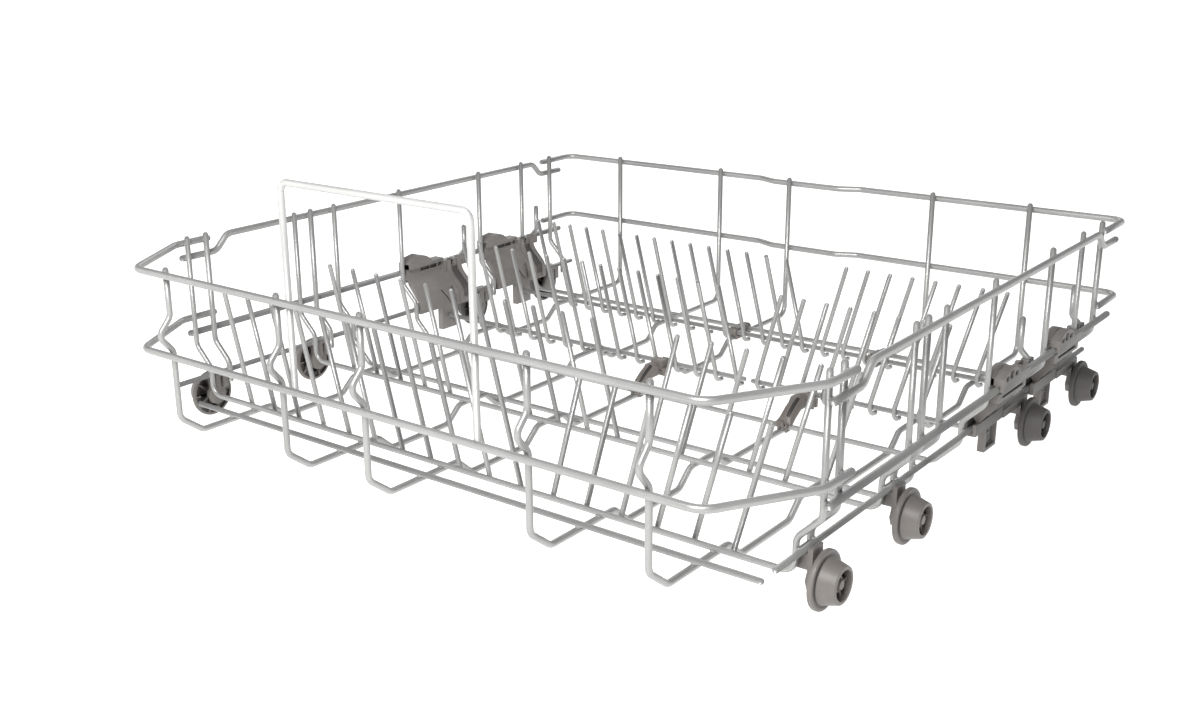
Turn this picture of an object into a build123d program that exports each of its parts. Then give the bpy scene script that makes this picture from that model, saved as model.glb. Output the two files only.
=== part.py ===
from build123d import *
import math
import os

os.makedirs("parts", exist_ok=True)

# Millimetres. X runs across, Y from the front to the rear, Z up from the floor.
# Stations along Y are given from the centre of the front rim.

# Wire sizes
rim_d = 4.6
frame_d = 4.0
cross_d = 3.6
hoop_d = 4.2
tine_d = 3.0
rod_d = 3.6
wire_sides = 8
tine_sides = 6
largest_mitre = 60.0
bend_r = 8.0

# Walls
basket_depth = 502.4
rim_x = 250.3
rim_z = 127.0
mid_rim_drop = 54.0
tip_rise = 5.6
front_tip_rise = 4.0
front_corner_x = 216.2
front_corner_run = 57.5
front_leg_end = 87.0
rear_leg_end = 458.5
rear_corner_r = 9.0
recess_depth = 7.0
recess_left = -38.0
recess_right = 37.0
recess_run = 16.0
side_joggle = 10.5
side_rim_front = 102.0
side_rim_rear = 447.0
side_rim_ends = (60.0, 487.0)
mid_side_z = 62.0
mid_side_ends = (61.0, 486.0)
lower_side_z = 33.0
lower_side_x = 235.8
lower_side_ends = (36.0, 485.0)

# Handle hoop
hoop_to_wire = 7.2
hoop_rise = 71.0
hoop_foot = 3.0
hoop_corner_r = 6.0

# Floor wires
floor_x = (-189.4, -83.7, -13.5, 107.6, 183.4)
plateau_z = 16.0
groove_drop = 10.7
groove_run = 12.5
grooves = ((80.0, 159.5), (187.0, 291.0), (326.0, 402.0))
bulge_reach = 8.3
bulge_top_z = 98.2
bulge_low_z = 75.5
bulge_flat = 4.5
bulge_slope = 8.7
foot_z = 29.0
foot_run = 17.2
rear_bend_r = 10.0

# Cross wires and side uprights
free_wire_y = 45.9
free_wire_half = 225.0
first_row_y = 64.5
second_row_y = 161.9
groove_wire_y = (201.6, 272.3)
rear_cross_y = 426.1
knee_top_z = 53.5
knee_low_z = 39.5
stub_end_z = 25.0
groove_knee_z = 26.0
loop_pitch = 15.8

# Fixed tines
row_pitch = 24.26
row_count = 17
row_top_z = 97.0
row_lean = 20.5
row_left_leaning = 11
tine_below = 3.2

# Folding racks
rack_pitch = 17.42
rack_offset = -2.7
rack_count = 23
rack_left_leaning = 15
rack_top_z = 88.5
rack_lean = 17.0
rack_lean_start = 3.0
hook_knee = 1.6
hook_depth = 5.0
hook_low = 0.2
hook_tip = 5.8
hook_reach = 7.0
rack_split_front = 58.0
rack_split_gap = 4.0
rack_rear_gap = 1.0
rod_reach = 1.2

# Wheels
wheel_r = 16.5
flange_t = 3.2
wheel_inner_x = 243.2
wheel_outer_x = 256.0
hub_r = 13.0
hub_end_r = 10.3
hub_wall = 2.0
pocket_r = 10.6
web_t = 1.6
wheel_sides = 16
axle_sides = 8
boss_r = 4.6
boss_end_x = 253.0
spoke_t = 1.5
spoke_count = 5
axle_r = 2.5
axle_clearance = 0.05
axle_head_r = 3.3
axle_head_t = 1.5
axle_lead = 1.2
side_play = 0.3
end_tolerance = 0.01
rear_wheel_y = (357.0, 454.2)

# Wheel carriers and holders
wall_t = 2.2
arm_t = 3.0
arm_r = 7.5
arm_boss_r = 6.0
rod_to_wheel = 45.0
stub_to_wheel = 11.8
pin_to_wheel = 15.5
cover_front = 80.0
cover_length = 60.0
cover_bulge = 3.0
cover_facets = 7
ledge_height = 6.0
ledge_gap = 0.2
ledge_groove = 34.0
ledge_groove_height = 1.8
arch_length = 16.0
arch_gap = 0.4
mid_grip = 1.15
head_hump = ((0.0, 5.0), (6.0, 8.5), (16.0, 10.0), (24.0, 7.0), (28.0, 3.0))
head_inset = 2.5
slot_front = 32.0
slot_length = 9.0
slot_height = 3.0
hole_from_arch = 6.0
hole_side = 4.5
cover_top_knee = 57.0
cover_low_knee = 38.0
tab_half = 9.5
tab_bottom = 10.0
tab_depth = 4.7
holder_block_half = 5.5
holder_slot = 2.4
holder_block_bottom = 22.0
holder_grip = 1.2
pin_x = 240.0
pin_top_z = 92.0
pin_knee_z = 70.0
pin_foot_z = 58.0

# Rod clips
rod_clearance = 0.05
saddle_t = 0.75
clip_width = 7.2
clip_crown = 1.6
clip_edge = 1.6
clip_wall = 2.0
cheek_depth = 3.2
cheek_back = 1.9
clip_mouth = 2.4
clip_cap = 2.0

# Derived positions
front_y = (bulge_reach - rim_d / 2 - (rim_d + frame_d) / 2 + frame_d / 2 - basket_depth) / 2
rear_y = front_y + basket_depth
mid_rim_z = rim_z - mid_rim_drop
tip_z = rim_z + tip_rise
front_tip_z = rim_z + front_tip_rise
wall_inner_x = rim_x - rim_d / 2
axle_z = wheel_r
groove_z = plateau_z - groove_drop
cross_z = plateau_z + (frame_d + cross_d) / 2
groove_cross_z = groove_z + (frame_d + cross_d) / 2
rod_bore_r = rod_d / 2 + rod_clearance
rod_z = plateau_z + frame_d / 2 + saddle_t + rod_bore_r
loop_outer_x = lower_side_x - cross_d / 2
upright_y = front_y + (rim_d + frame_d) / 2
bore_r = axle_r + axle_clearance
front_wheel_y = tuple(row + loop_pitch / 2 for row in (first_row_y, second_row_y))
rod_stations = tuple(wheel - rod_to_wheel for wheel in rear_wheel_y)
stub_stations = tuple(row + loop_pitch for row in (first_row_y, second_row_y))
stub_stations += tuple(wheel + stub_to_wheel for wheel in rear_wheel_y)


def rounded(points, radius):
    """Corner points of a wire, each sharp bend shared out over several mitres."""
    stops = [Vector(*p) for p in points]
    path = [stops[0]]
    for before, corner, after in zip(stops, stops[1:], stops[2:]):
        run_in = (corner - before).normalized()
        run_out = (after - corner).normalized()
        turn = run_in.get_angle(run_out)
        mitres = math.ceil(turn / largest_mitre)
        if mitres < 2:
            path.append(corner)
            continue
        normal = run_in.cross(run_out).normalized()
        to_start = run_in.cross(normal)
        tangent = radius * math.tan(math.radians(turn / 2))
        centre = corner - run_in * tangent - to_start * radius
        step = turn / mitres
        reach = radius / math.cos(math.radians(step / 2))
        for i in range(mitres):
            spoke = to_start.rotate(Axis((0, 0, 0), normal), (i + 0.5) * step)
            path.append(centre + spoke * reach)
    path.append(stops[-1])
    return path


def bent_wire(points, diameter, across, radius=bend_r, sides=wire_sides):
    """A wire with flats, so that wires welded across one another meet flat to flat."""
    with BuildPart() as bent:
        with BuildLine() as route:
            Polyline(*rounded(points, radius))
        start = Plane(origin=route.line @ 0, x_dir=across, z_dir=route.line % 0)
        with BuildSketch(start):
            RegularPolygon(diameter / 2, sides, major_radius=False, rotation=180 / sides)
        sweep(path=route.line, transition=Transition.RIGHT)
    return bent.part


def keep(part, name):
    part.label = name
    export_step(part, f"parts/{name}.step")


# Rims
for level, z in (("top", rim_z), ("mid", mid_rim_z)):
    leg = (rim_x, front_y + front_leg_end, z)
    corner = (rim_x, front_y + front_corner_run, z)
    bar = (front_corner_x, front_y, z)
    half = [leg, corner, bar]
    front = half + [(-x, y, z) for x, y, z in reversed(half)]
    keep(bent_wire(front, rim_d, (0, 0, 1)), f"front_{level}_rim")

    recess_y = rear_y - recess_depth
    rear = [
        (-rim_x, front_y + rear_leg_end, z),
        (-rim_x, rear_y, z),
        (recess_left - recess_run / 2, rear_y, z),
        (recess_left + recess_run / 2, recess_y, z),
        (recess_right - recess_run / 2, recess_y, z),
        (recess_right + recess_run / 2, rear_y, z),
        (rim_x, rear_y, z),
        (rim_x, front_y + rear_leg_end, z),
    ]
    keep(bent_wire(rear, rim_d, (0, 0, 1), rear_corner_r), f"rear_{level}_rim")

for side, word in ((-1, "left"), (1, "right")):
    x = side * rim_x
    low = rim_z - side_joggle
    rim = [
        (x, front_y + side_rim_ends[0], low),
        (x, front_y + side_rim_front - side_joggle, low),
        (x, front_y + side_rim_front, rim_z),
        (x, front_y + side_rim_rear, rim_z),
        (x, front_y + side_rim_rear + side_joggle, low),
        (x, front_y + side_rim_ends[1], low),
    ]
    keep(bent_wire(rim, rim_d, (1, 0, 0)), f"{word}_top_side_rim")

    mid = [(x, front_y + end, mid_side_z) for end in mid_side_ends]
    keep(bent_wire(mid, rim_d, (1, 0, 0)), f"{word}_mid_side_wire")

    low_x = side * lower_side_x
    lower = [(low_x, front_y + end, lower_side_z) for end in lower_side_ends]
    keep(bent_wire(lower, cross_d, (1, 0, 0)), f"{word}_lower_side_wire")

# Handle hoop
hoop_y = front_y + (rim_d + hoop_d) / 2
hoop_low = mid_rim_z - hoop_foot
hoop_high = rim_z + hoop_rise
hoop_half = abs(floor_x[1]) - (frame_d + hoop_d) / 2 - hoop_to_wire
hoop = [
    (-hoop_half, hoop_y, hoop_low),
    (-hoop_half, hoop_y, hoop_high),
    (hoop_half, hoop_y, hoop_high),
    (hoop_half, hoop_y, hoop_low),
]
keep(bent_wire(hoop, hoop_d, (0, 1, 0), hoop_corner_r), "handle_hoop")

# Floor wires
for number, x in enumerate(floor_x, 1):
    in_recess = recess_left < x < recess_right
    back_y = rear_y - (rim_d + frame_d) / 2 - (recess_depth if in_recess else 0)
    bulge_y = upright_y - bulge_reach
    bulge_mid = bulge_top_z - bulge_slope
    path = [
        (x, upright_y, front_tip_z),
        (x, upright_y, bulge_top_z),
        (x, bulge_y, bulge_mid),
        (x, bulge_y, bulge_mid - bulge_flat),
        (x, upright_y, bulge_low_z),
        (x, upright_y, foot_z),
        (x, upright_y + foot_run, plateau_z),
    ]
    for start, end in grooves:
        path += [
            (x, front_y + start, plateau_z),
            (x, front_y + start + groove_run, groove_z),
            (x, front_y + end - groove_run, groove_z),
            (x, front_y + end, plateau_z),
        ]
    path += [(x, back_y, plateau_z), (x, back_y, tip_z)]
    keep(bent_wire(path, frame_d, (1, 0, 0), rear_bend_r), f"floor_wire_{number}")

# Cross wires, turned up into the side uprights
free_y = front_y + free_wire_y
free_ends = [(-free_wire_half, free_y, cross_z), (free_wire_half, free_y, cross_z)]
keep(bent_wire(free_ends, cross_d, (0, 1, 0)), "front_cross_wire")


def wall_side(x_sign, y, diameter):
    """Upper part of a side upright: tip, inward slant, lower vertical."""
    top_x = x_sign * (wall_inner_x - diameter / 2)
    low_x = x_sign * (loop_outer_x - diameter / 2)
    return [(top_x, y, tip_z), (top_x, y, knee_top_z), (low_x, y, knee_low_z)]


loops = {
    "first_row_wire": (first_row_y, cross_z),
    "second_row_wire": (second_row_y, cross_z),
    "front_groove_wire": (groove_wire_y[0], groove_cross_z),
    "rear_groove_wire": (groove_wire_y[1], groove_cross_z),
    "rear_cross_wire": (rear_cross_y, cross_z),
}
for name, (station, z) in loops.items():
    y = front_y + station
    half = wall_side(-1, y, cross_d)
    low_x = half[-1][0]
    if z == groove_cross_z:
        half.append((low_x, y, groove_knee_z))
        half.append((low_x + groove_knee_z - z, y, z))
    else:
        half.append((low_x, y, z))
    path = half + [(-px, py, pz) for px, py, pz in reversed(half)]
    keep(bent_wire(path, cross_d, (0, 1, 0)), name)

for side, word in ((-1, "left"), (1, "right")):
    stub = wall_side(side, 0, frame_d)
    stub.append((stub[-1][0], 0, stub_end_z))
    upright = bent_wire(stub, frame_d, (0, 1, 0))
    with BuildPart() as stubs:
        with Locations(*[(0, front_y + station, 0) for station in stub_stations]):
            add(upright)
    keep(stubs.part, f"{word}_stub_uprights")

    pin_low_x = side * (wall_inner_x - frame_d / 2)
    pin_shift = wall_inner_x - frame_d / 2 - pin_x
    pin_path = [
        (side * pin_x, 0, pin_top_z),
        (side * pin_x, 0, pin_knee_z),
        (pin_low_x, 0, pin_knee_z - pin_shift),
        (pin_low_x, 0, pin_foot_z),
    ]
    pin = bent_wire(pin_path, frame_d, (0, 1, 0))
    with BuildPart() as pins:
        with Locations(*[(0, front_y + wheel - pin_to_wheel, 0) for wheel in rear_wheel_y]):
            add(pin)
    keep(pins.part, f"{word}_side_pins")

# Fixed tine rows
row_first = -(row_count - 1) / 2 * row_pitch
row_x = [row_first + i * row_pitch for i in range(row_count)]
for name, station in (("first_row_tines", first_row_y), ("second_row_tines", second_row_y)):
    y = front_y + station + (cross_d + tine_d) / 2
    with BuildPart() as row:
        for lean, places in ((-row_lean, row_x[:row_left_leaning]), (row_lean, row_x[row_left_leaning:])):
            drop = lean * tine_below / (row_top_z - cross_z)
            foot = (-drop, y, cross_z - tine_below)
            tine = bent_wire([foot, (lean, y, row_top_z)], tine_d, (0, 1, 0), sides=tine_sides)
            with Locations(*[(x, 0, 0) for x in places]):
                add(tine)
    keep(row.part, name)

# Folding racks
rack_x = [rack_offset + (i - (rack_count - 1) / 2) * rack_pitch for i in range(rack_count)]
inner_clip_x = floor_x[2]
rod_outer = loop_outer_x + rod_reach
racks = {
    "front_left": (rod_stations[0], -rod_outer, rack_split_front - rack_split_gap / 2),
    "front_right": (rod_stations[0], rack_split_front + rack_split_gap / 2, rod_outer),
    "rear_left": (rod_stations[1], -rod_outer, inner_clip_x - rack_rear_gap / 2),
    "rear_right": (rod_stations[1], inner_clip_x + rack_rear_gap / 2, rod_outer),
}
for word, (station, start, end) in racks.items():
    y = front_y + station
    with BuildPart() as rod:
        with BuildSketch(Plane(origin=(start, y, rod_z), x_dir=(0, 1, 0), z_dir=(1, 0, 0))):
            RegularPolygon(rod_d / 2, axle_sides)
        extrude(amount=end - start)
    keep(rod.part, f"{word}_rack_rod")

    shaft_y = y - (rod_d + tine_d) / 2
    with BuildPart() as rack:
        for side in (-1, 1):
            leaning = rack_x[:rack_left_leaning] if side < 0 else rack_x[rack_left_leaning:]
            places = [x for x in leaning if start < x < end]
            if not places:
                continue
            path = [
                (side * rack_lean, shaft_y, rack_top_z),
                (0, shaft_y, rod_z + rack_lean_start),
                (0, shaft_y, rod_z - hook_knee),
                (0, y + hook_low, rod_z - hook_depth),
                (0, y + hook_reach, rod_z - hook_tip),
            ]
            tine = bent_wire(path, tine_d, (0, 1, 0), sides=tine_sides)
            with Locations(*[(x, 0, 0) for x in places]):
                add(tine)
    keep(rack.part, f"{word}_rack_tines")

# Rod clips on the floor wires
wire_top = plateau_z + frame_d / 2
groove_top = groove_z + frame_d / 2
knee_shift = frame_d / 2 * math.tan(math.atan2(groove_drop, groove_run) / 2)
ring_reach = rod_bore_r + clip_wall


def clip_side(x, low, high):
    """Plane across the clip at x + low, and the thickness from there."""
    return Plane(origin=(x + low, 0, 0), x_dir=(0, 1, 0), z_dir=(1, 0, 0)), high - low


def rod_clip(x, rod_y, saddle, cheek, roof):
    half = clip_width / 2
    plane, width = clip_side(x, -half, half)

    def along_roof(edge):
        ends = [(round(v.Y, 3), round(v.Z, 3)) for v in edge.vertices()]
        return ends[0] != ends[1] and all(end in roof for end in ends)

    with BuildPart() as clip:
        with BuildSketch(plane):
            with BuildLine():
                Polyline(*saddle, close=True)
            make_face()
        extrude(amount=width)
        roof = [(round(y, 3), round(z, 3)) for y, z in roof]
        chamfer(clip.edges().filter_by(along_roof), clip_edge)
        with BuildSketch(plane):
            with Locations((rod_y, rod_z)):
                RegularPolygon(ring_reach, axle_sides)
            with Locations((rod_y, wire_top)):
                Rectangle(2 * ring_reach, ring_reach, align=(Align.CENTER, Align.MAX), mode=Mode.SUBTRACT)
        extrude(amount=width)
        for low, high in ((-half, -frame_d / 2), (frame_d / 2, half)):
            plane, thickness = clip_side(x, low, high)
            with BuildSketch(plane):
                with BuildLine():
                    Polyline(*cheek, close=True)
                make_face()
            extrude(amount=thickness)
        plane, width = clip_side(x, -half, half)
        with BuildSketch(plane):
            with Locations((rod_y, rod_z)):
                RegularPolygon(rod_bore_r, axle_sides, major_radius=False)
                Rectangle(clip_mouth, 2 * ring_reach, align=(Align.CENTER, Align.MIN))
        extrude(amount=width, mode=Mode.SUBTRACT)
    return clip.part


rise_top = front_y + grooves[1][1] - knee_shift
rise_low = front_y + grooves[1][1] - groove_run - knee_shift
groove_wire_rear = front_y + groove_wire_y[1] + cross_d / 2
groove_wire_front = front_y + groove_wire_y[1] - cross_d / 2
groove_wire_top = groove_cross_z + cross_d / 2
front_rod_y = front_y + rod_stations[0]
front_cap = rod_z + rod_d / 2 + clip_crown
front_roof = [
    (groove_wire_front - clip_wall, groove_wire_top + clip_wall),
    (groove_wire_rear, groove_wire_top + clip_wall + clip_crown),
    (rise_top, front_cap),
    (front_rod_y, front_cap),
]
front_saddle = [
    (front_rod_y, wire_top),
    (rise_top, wire_top),
    (rise_low, groove_top),
    (groove_wire_rear, groove_top),
    (groove_wire_rear, groove_wire_top),
    (groove_wire_front, groove_wire_top),
    (groove_wire_front, groove_cross_z),
    (groove_wire_front - clip_wall, groove_cross_z),
    *front_roof,
]
front_cheek = [
    (front_rod_y + cheek_back, wire_top),
    (front_rod_y + cheek_back, wire_top - cheek_depth),
    (rise_top, wire_top - cheek_depth),
    (rise_low, groove_top - cheek_depth),
    (groove_wire_rear, groove_top - cheek_depth),
    (groove_wire_rear, groove_wire_top),
    (rise_low, groove_wire_top),
    (rise_top, front_cap),
    (front_rod_y, front_cap),
]
rear_wire_y = front_y + rear_cross_y
cross_top = cross_z + cross_d / 2
cap_z = cross_top + clip_cap
rear_rod_y = front_y + rod_stations[1]
rear_roof = [(rear_wire_y + cross_d / 2 + clip_wall, cap_z), (rear_rod_y, cap_z)]
rear_saddle = [
    (rear_rod_y, wire_top),
    (rear_wire_y - cross_d / 2, wire_top),
    (rear_wire_y - cross_d / 2, cross_top),
    (rear_wire_y + cross_d / 2, cross_top),
    (rear_wire_y + cross_d / 2, cross_z),
    (rear_wire_y + cross_d / 2 + clip_wall, cross_z),
    *rear_roof,
]
rear_cheek = [
    (rear_rod_y - cheek_back, wire_top),
    (rear_rod_y - cheek_back, wire_top - cheek_depth),
    (rear_wire_y - cross_d / 2, wire_top - cheek_depth),
    (rear_wire_y - cross_d / 2, cap_z),
    (rear_rod_y, cap_z),
]
for word, x in (("left", floor_x[2]), ("right", floor_x[3])):
    keep(rod_clip(x, front_rod_y, front_saddle, front_cheek, front_roof), f"front_{word}_rod_clip")
    keep(rod_clip(x, rear_rod_y, rear_saddle, rear_cheek, rear_roof), f"rear_{word}_rod_clip")


def side_plane(side, x, y=0.0, z=0.0):
    """Plane across the basket at x on one side, its normal pointing outwards."""
    return Plane(origin=(side * x, y, z), x_dir=(0, side, 0), z_dir=(side, 0, 0))


# Wheels
def sloped_end(made, side, x, inwards, along):
    """Slopes the edges of the end face at x, by inwards on the end and by along beside it."""
    end = made.faces().filter_by(Axis.X).filter_by(lambda f: abs(f.center().X - side * x) < end_tolerance)
    chamfer(end.edges(), length=inwards, length2=along, reference=end[0])


def wheel(side, y):
    flange_x = wheel_inner_x + flange_t
    hub_length = wheel_outer_x - flange_x
    slope = (hub_r - hub_end_r) / hub_length
    flat_share = math.cos(math.pi / wheel_sides)
    spoke_reach = (pocket_r + hub_r - slope * (boss_end_x - flange_x)) / 2
    with BuildPart() as made:
        with BuildSketch(side_plane(side, wheel_inner_x, y, axle_z)):
            RegularPolygon(hub_r, wheel_sides)
        extrude(amount=wheel_outer_x - wheel_inner_x)
        sloped_end(made, side, wheel_outer_x, (hub_r - hub_end_r) * flat_share, hub_length)
        with BuildSketch(side_plane(side, wheel_inner_x, y, axle_z)):
            RegularPolygon(wheel_r, wheel_sides)
        extrude(amount=flange_t)
        with BuildSketch(side_plane(side, wheel_inner_x, y, axle_z)):
            RegularPolygon(pocket_r, wheel_sides)
        extrude(amount=flange_t, mode=Mode.SUBTRACT)
        with BuildSketch(side_plane(side, flange_x + web_t, y, axle_z)):
            RegularPolygon(hub_end_r - hub_wall, wheel_sides)
        extrude(amount=hub_length - web_t, mode=Mode.SUBTRACT)
        with BuildSketch(side_plane(side, wheel_inner_x, y, axle_z)):
            RegularPolygon(boss_r, axle_sides)
            with PolarLocations(0, spoke_count):
                Rectangle(spoke_reach, spoke_t, align=(Align.MIN, Align.CENTER))
        extrude(amount=boss_end_x - wheel_inner_x)
        with BuildSketch(side_plane(side, wheel_inner_x, y, axle_z)):
            RegularPolygon(bore_r, axle_sides, major_radius=False)
        extrude(amount=boss_end_x - wheel_inner_x, mode=Mode.SUBTRACT)
    return made.part


# Stub axle on an arm, shared by holders and carriers
arm_inner_x = lower_side_x + cross_d / 2
arm_outer_x = arm_inner_x + arm_t
shoulder_x = wheel_inner_x - side_play
snap_x = boss_end_x + side_play


def stub_axle(side, y):
    with BuildPart() as made:
        with BuildSketch(side_plane(side, snap_x, y, axle_z)):
            RegularPolygon(axle_head_r, axle_sides)
        extrude(amount=axle_head_t)
        sloped_end(made, side, snap_x + axle_head_t, axle_head_r - axle_r, axle_lead)
        with BuildSketch(side_plane(side, arm_outer_x, y, axle_z)):
            RegularPolygon(arm_boss_r, axle_sides)
        extrude(amount=shoulder_x - arm_outer_x)
        with BuildSketch(side_plane(side, shoulder_x, y, axle_z)):
            RegularPolygon(axle_r, axle_sides)
        extrude(amount=snap_x - shoulder_x)
    return made.part


def holder(side, y):
    clip_low = lower_side_z - cross_d / 2
    inner_x = loop_outer_x - wall_t
    with BuildPart() as made:
        with BuildSketch(side_plane(side, arm_inner_x, y)):
            with Locations((0, axle_z)):
                RegularPolygon(arm_r, axle_sides)
                height = lower_side_z + holder_grip - axle_z
                Rectangle(2 * holder_block_half, height, align=(Align.CENTER, Align.MIN))
        extrude(amount=arm_t)
        with BuildSketch(side_plane(side, inner_x, y)):
            with Locations((0, holder_block_bottom)):
                height = clip_low - holder_block_bottom
                Rectangle(2 * holder_block_half, height, align=(Align.CENTER, Align.MIN))
                Rectangle(holder_slot, height, align=(Align.CENTER, Align.MIN), mode=Mode.SUBTRACT)
        extrude(amount=arm_inner_x - inner_x)
        with BuildSketch(side_plane(side, inner_x, y)):
            with Locations((0, clip_low)):
                Rectangle(2 * holder_block_half, cross_d / 2, align=(Align.CENTER, Align.MIN))
        extrude(amount=wall_t)
        add(stub_axle(side, y))
    return made.part


def bowed(start, end, rise):
    """Points between start and end on a shallow curve that rises to the left of the run."""
    run = (end[0] - start[0], end[1] - start[1])
    shift = rise / math.hypot(*run)
    points = []
    for step in range(1, cover_facets):
        t = step / cover_facets
        bow = 4 * t * (1 - t) * shift
        points.append((start[0] + t * run[0] - bow * run[1], start[1] + t * run[1] + bow * run[0]))
    return points


def carrier(side, wheel_y):
    start_y = wheel_y - cover_front
    rod_y = wheel_y - rod_to_wheel
    arch_y = start_y + cover_length - arch_length
    mid_in = rim_x - rim_d / 2
    mid_out = rim_x + rim_d / 2
    mid_top = mid_side_z + rim_d / 2
    low_in = lower_side_x - cross_d / 2
    low_out = lower_side_x + cross_d / 2
    low_bottom = lower_side_z - cross_d / 2
    lip_z = lower_side_z + cross_d
    lip_top = mid_side_z - mid_grip
    ledge_top = mid_side_z - rim_d / 2 - ledge_gap
    knee_slope = math.atan2(wall_inner_x - loop_outer_x, knee_top_z - knee_low_z)
    half_turn = math.tan(knee_slope / 2)

    def arch_face(offset):
        top_x = wall_inner_x - cross_d / 2 - offset
        low_x = loop_outer_x - cross_d / 2 - offset
        return [
            (top_x, mid_top),
            (top_x, knee_top_z + offset * half_turn),
            (low_x, knee_low_z + offset * half_turn),
            (low_x, low_bottom - wall_t),
        ]

    def section(y):
        return Plane(origin=(0, y, 0), x_dir=(side, 0, 0), z_dir=(0, -side, 0))

    near = arch_face(cross_d / 2 + arch_gap)
    far = arch_face(cross_d / 2 + arch_gap + wall_t)
    with BuildPart() as made:
        with BuildSketch(section(start_y)):
            with BuildLine():
                low_clamp = [
                    (low_in - wall_t, cover_low_knee),
                    (low_in - wall_t, low_bottom - wall_t),
                    (low_out + wall_t, low_bottom - wall_t),
                    (low_out + wall_t, lip_z),
                    (low_out, lip_z),
                    (low_out, low_bottom),
                    (low_in, low_bottom),
                    (low_in, cover_low_knee),
                ]
                mid_clamp = [
                    (mid_in, cover_top_knee),
                    (mid_in, mid_top),
                    (mid_out, mid_top),
                    (mid_out, lip_top),
                    (mid_out + wall_t, lip_top),
                    (mid_out + wall_t, mid_top + wall_t),
                    (mid_in - wall_t, mid_top + wall_t),
                    (mid_in - wall_t, cover_top_knee),
                ]
                outside = bowed(low_clamp[-1], mid_clamp[0], cover_bulge)
                inside = bowed(mid_clamp[-1], low_clamp[0], -cover_bulge)
                Polyline(*low_clamp, *outside, *mid_clamp, *inside, close=True)
            make_face()
        extrude(amount=-side * (arch_y - start_y))
        with BuildSketch(section(start_y)):
            with Locations((mid_in - wall_t / 2, ledge_top)):
                Rectangle(rim_d + wall_t / 2, ledge_height, align=(Align.MIN, Align.MAX))
        extrude(amount=-side * (arch_y - start_y))
        with BuildSketch(side_plane(side, mid_in, (start_y + arch_y) / 2, ledge_top - ledge_height / 2)):
            Rectangle(ledge_groove, ledge_groove_height)
        extrude(amount=rim_d, mode=Mode.SUBTRACT)
        with BuildSketch(side_plane(side, mid_in - wall_t - head_inset, start_y)):
            with BuildLine():
                hump = [(side * run, mid_top + rise) for run, rise in head_hump]
                foot = [(hump[-1][0], mid_top), (hump[0][0], mid_top)]
                Polyline(*hump, *foot, close=True)
            make_face()
        extrude(amount=mid_out - mid_in + 2 * wall_t + head_inset)
        with BuildSketch(side_plane(side, mid_in - wall_t, start_y + slot_front, mid_side_z)):
            Rectangle(slot_length, slot_height)
        extrude(amount=wall_t, mode=Mode.SUBTRACT)
        with BuildSketch(section(arch_y - wall_t)):
            with BuildLine():
                inward = [(low_in - wall_t / 2, low_bottom - wall_t), (low_in - wall_t / 2, cover_low_knee)]
                inward += [(mid_in - wall_t / 2, cover_top_knee), (mid_in - wall_t / 2, mid_top)]
                Polyline(*far, *inward, close=True)
            make_face()
        extrude(amount=-side * wall_t)
        with BuildSketch(section(arch_y)):
            with BuildLine():
                Polyline(*near, *reversed(far), close=True)
            make_face()
        extrude(amount=-side * arch_length)
        with BuildSketch(side_plane(side, far[0][0], arch_y + hole_from_arch, mid_side_z)):
            Rectangle(hole_side, hole_side)
        extrude(amount=wall_t, mode=Mode.SUBTRACT)
        with BuildSketch(side_plane(side, low_in - wall_t, rod_y)):
            with Locations((0, tab_bottom)):
                Rectangle(2 * tab_half, low_bottom - tab_bottom, align=(Align.CENTER, Align.MIN))
        extrude(amount=tab_depth)
        with BuildSketch(side_plane(side, low_in, rod_y)):
            with Locations((0, tab_bottom + wall_t)):
                pocket = low_bottom - tab_bottom - 2 * wall_t
                Rectangle(2 * tab_half - 2 * wall_t, pocket, align=(Align.CENTER, Align.MIN))
        extrude(amount=tab_depth, mode=Mode.SUBTRACT)
        with BuildSketch(side_plane(side, low_in - wall_t, rod_y, rod_z)):
            RegularPolygon(rod_bore_r, axle_sides, major_radius=False)
        extrude(amount=wall_t, mode=Mode.SUBTRACT)
        with BuildSketch(side_plane(side, arm_inner_x, wheel_y)):
            with Locations((side * (arch_y - wheel_y), lower_side_z + holder_grip)):
                rail = (wheel_y - arch_y, lower_side_z + holder_grip - low_bottom + wall_t)
                Rectangle(*rail, align=(Align.MIN if side > 0 else Align.MAX, Align.MAX))
        extrude(amount=arm_t)
        add(holder(side, wheel_y))
    return made.part


for side, word in ((-1, "left"), (1, "right")):
    for number, station in enumerate(front_wheel_y + rear_wheel_y, 1):
        keep(wheel(side, front_y + station), f"{word}_wheel_{number}")
    for number, station in enumerate(front_wheel_y, 1):
        keep(holder(side, front_y + station), f"{word}_wheel_holder_{number}")
    for place, station in zip(("front", "rear"), rear_wheel_y):
        keep(carrier(side, front_y + station), f"{word}_{place}_carrier")
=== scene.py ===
import bpy
import bmesh
import math
from mathutils import Matrix, Vector


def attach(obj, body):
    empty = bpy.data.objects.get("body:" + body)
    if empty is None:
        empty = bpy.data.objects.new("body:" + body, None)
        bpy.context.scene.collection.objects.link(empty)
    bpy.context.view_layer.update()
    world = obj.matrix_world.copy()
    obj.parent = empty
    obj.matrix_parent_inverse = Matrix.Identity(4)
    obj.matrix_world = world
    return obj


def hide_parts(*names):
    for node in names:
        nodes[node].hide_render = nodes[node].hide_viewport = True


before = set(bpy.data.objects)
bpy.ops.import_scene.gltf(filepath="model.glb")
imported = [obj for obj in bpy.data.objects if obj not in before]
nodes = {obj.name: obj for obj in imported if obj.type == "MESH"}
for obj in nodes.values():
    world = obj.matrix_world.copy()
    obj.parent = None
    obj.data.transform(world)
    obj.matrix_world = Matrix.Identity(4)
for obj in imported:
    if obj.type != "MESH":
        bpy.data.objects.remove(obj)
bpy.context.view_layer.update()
mm = 0.001


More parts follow.
